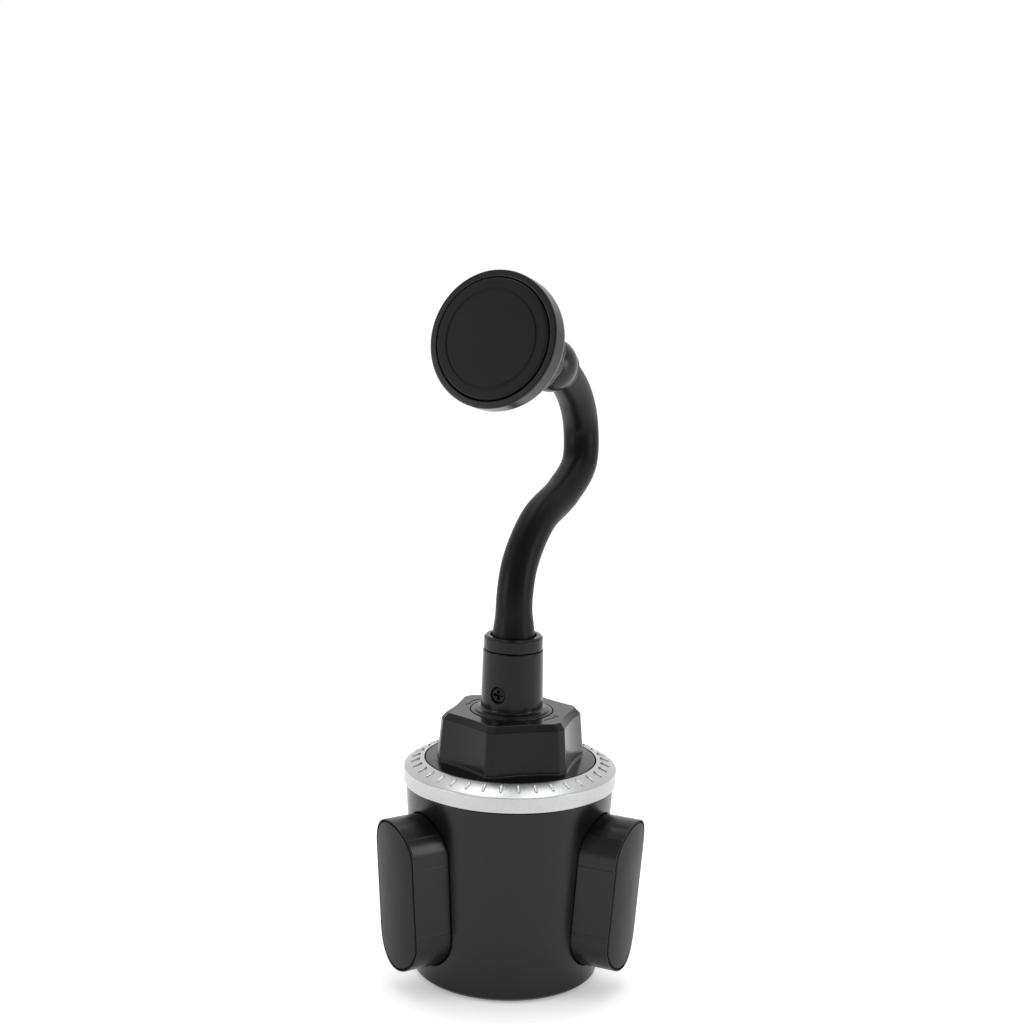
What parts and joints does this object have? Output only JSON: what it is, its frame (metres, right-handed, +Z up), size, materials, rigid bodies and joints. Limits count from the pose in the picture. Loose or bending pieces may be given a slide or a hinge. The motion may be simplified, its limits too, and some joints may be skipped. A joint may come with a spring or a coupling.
{
  "type": "car phone mount",
  "caption": "Cup-holder phone mount: tapered black base with sliding wings, hex adjusting knob, silver graduated ring, bendable rubber neck and a magnetic swivel head.",
  "frame": {"origin": "middle of the base's underside, on the axis of the base and its knob", "axes": "+Z up along the base's axis; -Y is the side the phone's face looks to; the neck leans back along +Y"},
  "size_m": [0.0859, 0.0814, 0.2303],
  "materials": {
    "black_abs": "moulded, fine spark texture, satin",
    "soft_rubber": "moulded silicone rubber, dull",
    "neck_rubber": "smooth soft-touch rubber sleeve, satin",
    "satin_silver": "satin silver, fine bright edges",
    "acetal": "natural moulded acetal",
    "steel": "zinc plated",
    "black_steel": "black oxide, polished",
    "nickel_magnet": "nickel plated"
  },
  "bodies": {
    "base": {"base_shell": "black_abs", "base_floor": "black_abs", "foot_pad": "soft_rubber", "floor_screw_1": "steel", "floor_screw_2": "steel", "floor_screw_3": "steel", "centre_post": "acetal", "tie_bolt": "steel", "dial_ring": "satin_silver", "neck_sleeve": "black_abs", "set_screw": "black_steel", "neck_plug": "steel", "neck_cap_ring": "black_abs", "neck_skin_1": "neck_rubber", "neck_core_1": "steel"},
    "knob": {"hex_knob": "black_abs", "scroll_plate": "acetal", "scroll_screw_1": "steel", "scroll_screw_2": "steel", "scroll_screw_3": "steel"},
    "wing_1": {"wing_block_1": "black_abs", "wing_pad_1": "soft_rubber", "follower_pin_1": "steel"},
    "wing_2": {"wing_block_2": "black_abs", "wing_pad_2": "soft_rubber", "follower_pin_2": "steel"},
    "wing_3": {"wing_block_3": "black_abs", "wing_pad_3": "soft_rubber", "follower_pin_3": "steel"},
    "neck_2": {"neck_skin_2": "neck_rubber", "neck_core_2": "steel"},
    "neck_3": {"neck_skin_3": "neck_rubber", "neck_core_3": "steel"},
    "neck_4": {"neck_skin_4": "neck_rubber", "neck_core_4": "steel"},
    "neck_5": {"neck_skin_5": "neck_rubber", "neck_core_5": "steel", "knuckle": "black_abs"},
    "ball": {"swivel_ball": "black_steel"},
    "seat": {"ball_seat": "acetal"},
    "head": {"head_shell": "black_abs", "yoke_plate": "steel", "magnet_tray": "black_abs", "magnet_1": "nickel_magnet", "magnet_2": "nickel_magnet", "magnet_3": "nickel_magnet", "magnet_4": "nickel_magnet", "magnet_5": "nickel_magnet", "magnet_6": "nickel_magnet", "face_plate": "black_abs", "face_pad": "soft_rubber"},
    "nut": {"lock_nut": "black_abs"}
  },
  "joints": [
    {"name": "knob_turn", "type": "hinge", "parent": "base", "child": "knob", "pos_m": [0, 0, 0.07], "axis": [0, 0, 1], "range_deg": [-99, 153]},
    {"name": "wing_1_slide", "type": "slide", "parent": "base", "child": "wing_1", "axis": [-0.0698, 0.9976, 0], "range_m": [-0.0086, 0.0056]},
    {"name": "wing_2_slide", "type": "slide", "parent": "base", "child": "wing_2", "axis": [-0.829, -0.5592, 0], "range_m": [-0.0086, 0.0056]},
    {"name": "wing_3_slide", "type": "slide", "parent": "base", "child": "wing_3", "axis": [0.8988, -0.4384, 0], "range_m": [-0.0086, 0.0056]},
    {"name": "neck_bend_1", "type": "hinge", "parent": "base", "child": "neck_2", "pos_m": [0.0002, 0.00075, 0.12755], "axis": [0.9419, -0.336, 0], "range_deg": [-20, 20]},
    {"name": "neck_bend_2", "type": "hinge", "parent": "neck_2", "child": "neck_3", "pos_m": [0.0081, 0.01537, 0.14934], "axis": [0.2418, 0.4046, -0.882], "range_deg": [-20, 20]},
    {"name": "neck_bend_3", "type": "hinge", "parent": "neck_3", "child": "neck_4", "pos_m": [0.02017, 0.03699, 0.16217], "axis": [0.9125, -0.409, 0], "range_deg": [-20, 20]},
    {"name": "neck_bend_4", "type": "hinge", "parent": "neck_4", "child": "neck_5", "pos_m": [0.0183, 0.03301, 0.18619], "axis": [-0.2296, -0.6498, -0.7246], "range_deg": [-20, 20]},
    {"name": "head_tilt", "type": "hinge", "parent": "neck_5", "child": "ball", "pos_m": [0.00049, -0.00502, 0.20411], "axis": [-0.8838, 0.4679, 0], "range_deg": [-20, 20]},
    {"name": "head_pan", "type": "hinge", "parent": "ball", "child": "seat", "pos_m": [0.00049, -0.00502, 0.20411], "axis": [0.1265, 0.2389, 0.9628], "range_deg": [-20, 20]},
    {"name": "head_spin", "type": "hinge", "parent": "seat", "child": "head", "pos_m": [0.00049, -0.00502, 0.20411], "axis": [-0.4505, -0.8509, 0.2703], "continuous": true},
    {"name": "nut_turn", "type": "hinge", "parent": "head", "child": "nut", "pos_m": [0.00049, -0.00502, 0.20411], "axis": [0.4505, 0.8509, -0.2703], "range_deg": [0, 180]}
  ],
  "couplings": [
    {"joint": "wing_1_slide", "follows": "knob_turn", "m_per_rad": -0.0031831},
    {"joint": "wing_2_slide", "follows": "knob_turn", "m_per_rad": -0.0031831},
    {"joint": "wing_3_slide", "follows": "knob_turn", "m_per_rad": -0.0031831}
  ]
}
